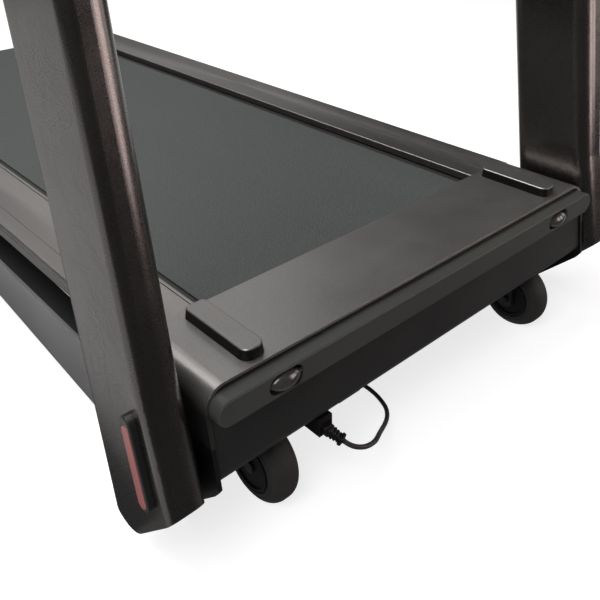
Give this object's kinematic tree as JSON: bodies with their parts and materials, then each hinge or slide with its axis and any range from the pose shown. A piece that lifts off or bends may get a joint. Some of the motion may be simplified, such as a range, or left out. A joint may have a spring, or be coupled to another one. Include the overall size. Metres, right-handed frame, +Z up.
{
  "type": "folding treadmill",
  "caption": "Folding home treadmill: cushioned running deck, motor hood with a bumper bar, transport wheels, and a U-shaped handle frame that folds down over the deck.",
  "frame": {"origin": "on the floor, in the middle of the length and the width", "axes": "+X to the left of a runner facing the console, -Y toward the motor hood end, +Z up"},
  "size_m": [0.8426, 1.6187, 1.2541],
  "materials": {
    "hood_paint": "satin",
    "panel_black": "satin",
    "bar_plastic": "satin",
    "roller_plastic": "satin",
    "frame_black": "satin",
    "beam_paint": "satin",
    "bolt_steel": "satin",
    "board_wood": "matte",
    "cushion_rubber": "matte",
    "belt_rubber": "matte",
    "roller_steel": "satin",
    "motor_paint": "satin",
    "rotor_steel": "satin",
    "drive_rubber": "matte",
    "control_plastic": "matte",
    "inlet_plastic": "satin",
    "rail_aluminium": "satin",
    "tyre_rubber": "matte",
    "hub_plastic": "satin",
    "cap_plastic": "satin",
    "foot_rubber": "matte",
    "upright_paint": "satin",
    "arm_plastic": "satin",
    "bezel_plastic": "satin",
    "release_red": "satin",
    "console_plastic": "satin",
    "face_plastic": "satin",
    "display_glass": "gloss",
    "grip_metal": "satin",
    "start_green": "satin",
    "key_grey": "satin",
    "key_red": "satin",
    "cord_rubber": "matte"
  },
  "bodies": {
    "base": {"bumper_bar": "bar_plastic", "control_box": "control_plastic", "crossmembers": "frame_black", "deck_board": "board_wood", "deck_cushions": "cushion_rubber", "drive_belt": "drive_rubber", "frame_rail_left": "frame_black", "frame_rail_right": "frame_black", "front_panel": "panel_black", "front_roller_axle": "bolt_steel", "hood_pad_left": "hood_paint", "hood_pad_right": "hood_paint", "hood_shell": "hood_paint", "motor_housing": "motor_paint", "motor_pan": "frame_black", "pan_brackets": "frame_black", "pivot_pins": "bolt_steel", "power_connector": "cord_rubber", "power_cord": "cord_rubber", "power_cord_coil": "cord_rubber", "power_inlet": "inlet_plastic", "power_plug": "cord_rubber", "rear_cap_left": "cap_plastic", "rear_cap_right": "cap_plastic", "rear_foot_left": "foot_rubber", "rear_foot_right": "foot_rubber", "rear_roller_axle": "bolt_steel", "running_belt": "belt_rubber", "side_beam_left": "beam_paint", "side_beam_right": "beam_paint", "side_rail_left": "rail_aluminium", "side_rail_right": "rail_aluminium", "tension_bolts": "bolt_steel", "wheel_axles": "frame_black"},
    "handle_frame": {"upright_left": "upright_paint", "upright_right": "upright_paint", "handle_arm_left": "arm_plastic", "handle_arm_right": "arm_plastic", "release_bezel_left": "bezel_plastic", "release_bezel_right": "bezel_plastic", "console_shell": "console_plastic", "console_face": "face_plastic", "display_window": "display_glass", "grab_bar": "grip_metal"},
    "release_left": {"release_button_left": "release_red"},
    "release_right": {"release_button_right": "release_red"},
    "wheel_left": {"tyre_left": "tyre_rubber", "wheel_hub_left": "hub_plastic"},
    "wheel_right": {"tyre_right": "tyre_rubber", "wheel_hub_right": "hub_plastic"},
    "bar_roller_left": {"bar_roller_left": "roller_plastic"},
    "bar_roller_right": {"bar_roller_right": "roller_plastic"},
    "front_roller": {"front_roller": "roller_steel"},
    "rear_roller": {"rear_roller": "roller_steel"},
    "motor_rotor": {"motor_rotor": "rotor_steel"},
    "power_switch": {"power_switch": "inlet_plastic"},
    "start_stop_button": {"start_stop_button": "start_green"},
    "speed_up_button": {"speed_up_button": "key_grey"},
    "speed_down_button": {"speed_down_button": "key_grey"},
    "safety_key": {"safety_key": "key_red"}
  },
  "joints": [
    {"name": "frame_fold", "type": "hinge", "parent": "base", "child": "handle_frame", "pos_m": [0, -0.7015, 0.079], "axis": [-1, 0, 0], "range_deg": [0, 82.5]},
    {"name": "release_left_press", "type": "slide", "parent": "handle_frame", "child": "release_left", "axis": [-1, 0, 0], "range_m": [0, 0.003], "stiffness_N_per_m": 500, "springref_m": -0.004},
    {"name": "release_right_press", "type": "slide", "parent": "handle_frame", "child": "release_right", "axis": [1, 0, 0], "range_m": [0, 0.003], "stiffness_N_per_m": 500, "springref_m": -0.004},
    {"name": "wheel_left_spin", "type": "hinge", "parent": "base", "child": "wheel_left", "pos_m": [0.254, -0.7375, 0.052], "axis": [1, 0, 0], "continuous": true},
    {"name": "wheel_right_spin", "type": "hinge", "parent": "base", "child": "wheel_right", "pos_m": [-0.254, -0.7375, 0.052], "axis": [1, 0, 0], "continuous": true},
    {"name": "bar_roller_left_spin", "type": "hinge", "parent": "base", "child": "bar_roller_left", "pos_m": [0.2577, -0.7885, 0.1985], "axis": [1, 0, 0], "continuous": true},
    {"name": "bar_roller_right_spin", "type": "hinge", "parent": "base", "child": "bar_roller_right", "pos_m": [-0.2577, -0.7885, 0.1985], "axis": [1, 0, 0], "continuous": true},
    {"name": "front_roller_spin", "type": "hinge", "parent": "base", "child": "front_roller", "pos_m": [0, -0.6745, 0.1795], "axis": [1, 0, 0], "continuous": true},
    {"name": "rear_roller_spin", "type": "hinge", "parent": "base", "child": "rear_roller", "pos_m": [0, 0.7505, 0.1795], "axis": [1, 0, 0], "continuous": true},
    {"name": "motor_spin", "type": "hinge", "parent": "base", "child": "motor_rotor", "pos_m": [0, -0.7405, 0.15], "axis": [1, 0, 0], "continuous": true},
    {"name": "power_switch_rock", "type": "hinge", "parent": "base", "child": "power_switch", "pos_m": [-0.128, -0.7505, 0.093], "axis": [-1, 0, 0], "range_deg": [0, 14]},
    {"name": "start_stop_button_press", "type": "slide", "parent": "handle_frame", "child": "start_stop_button", "axis": [0, -0.9737, -0.2277], "range_m": [0, 0.0015], "stiffness_N_per_m": 300, "springref_m": -0.002},
    {"name": "speed_up_button_press", "type": "slide", "parent": "handle_frame", "child": "speed_up_button", "axis": [0, -0.9737, -0.2277], "range_m": [0, 0.0015], "stiffness_N_per_m": 300, "springref_m": -0.002},
    {"name": "speed_down_button_press", "type": "slide", "parent": "handle_frame", "child": "speed_down_button", "axis": [0, -0.9737, -0.2277], "range_m": [0, 0.0015], "stiffness_N_per_m": 300, "springref_m": -0.002},
    {"name": "safety_key_pull", "type": "slide", "parent": "handle_frame", "child": "safety_key", "axis": [0, 0.9737, 0.2277], "range_m": [0, 0.03]}
  ],
  "couplings": [
    {"joint": "rear_roller_spin", "follows": "front_roller_spin", "ratio": 1},
    {"joint": "motor_spin", "follows": "front_roller_spin", "ratio": 2.6154}
  ]
}
